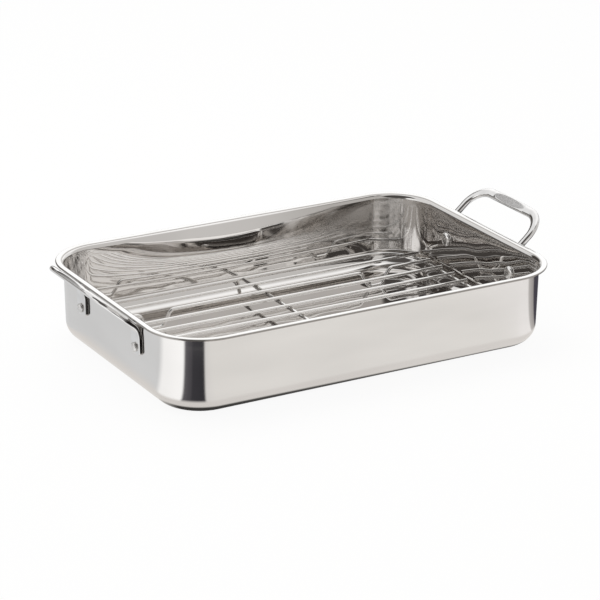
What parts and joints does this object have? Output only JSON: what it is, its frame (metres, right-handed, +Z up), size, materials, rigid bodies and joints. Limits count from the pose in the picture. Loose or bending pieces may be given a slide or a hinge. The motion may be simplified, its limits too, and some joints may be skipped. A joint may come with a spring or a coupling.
{
  "type": "lasagna pan with rack",
  "caption": "Deep rectangular stainless steel roasting and lasagna pan with riveted loop handles and a footed wire rack that lifts out.",
  "frame": {"origin": "middle of the pan's underside, on the surface it stands on", "axes": "+X along the pan's long side, towards the right handle; +Z up; +Y towards the rear wall of the picture"},
  "size_m": [0.441, 0.2588, 0.0918],
  "materials": {
    "pan_steel": "18/10 stainless sheet, satin outside and mirror polished inside",
    "handle_steel": "cast stainless, mirror polished",
    "rivet_steel": "polished stainless",
    "wire_steel": "drawn stainless wire, polished"
  },
  "bodies": {
    "pan": {"pan_body": "pan_steel", "handle_left": "handle_steel", "handle_right": "handle_steel", "rivet_left_front": "rivet_steel", "rivet_left_rear": "rivet_steel", "rivet_right_front": "rivet_steel", "rivet_right_rear": "rivet_steel"},
    "rack": {"rack_frame": "wire_steel", "rack_cross_wire": "wire_steel", "rack_wire_1": "wire_steel", "rack_footed_wire_2": "wire_steel", "rack_wire_3": "wire_steel", "rack_wire_4": "wire_steel", "rack_wire_5": "wire_steel", "rack_wire_6": "wire_steel", "rack_wire_7": "wire_steel", "rack_footed_wire_8": "wire_steel", "rack_wire_9": "wire_steel"}
  },
  "joints": [
    {"name": "rack_lift", "type": "slide", "parent": "pan", "child": "rack", "axis": [0, 0, 1], "range_m": [0, 0.11]}
  ]
}
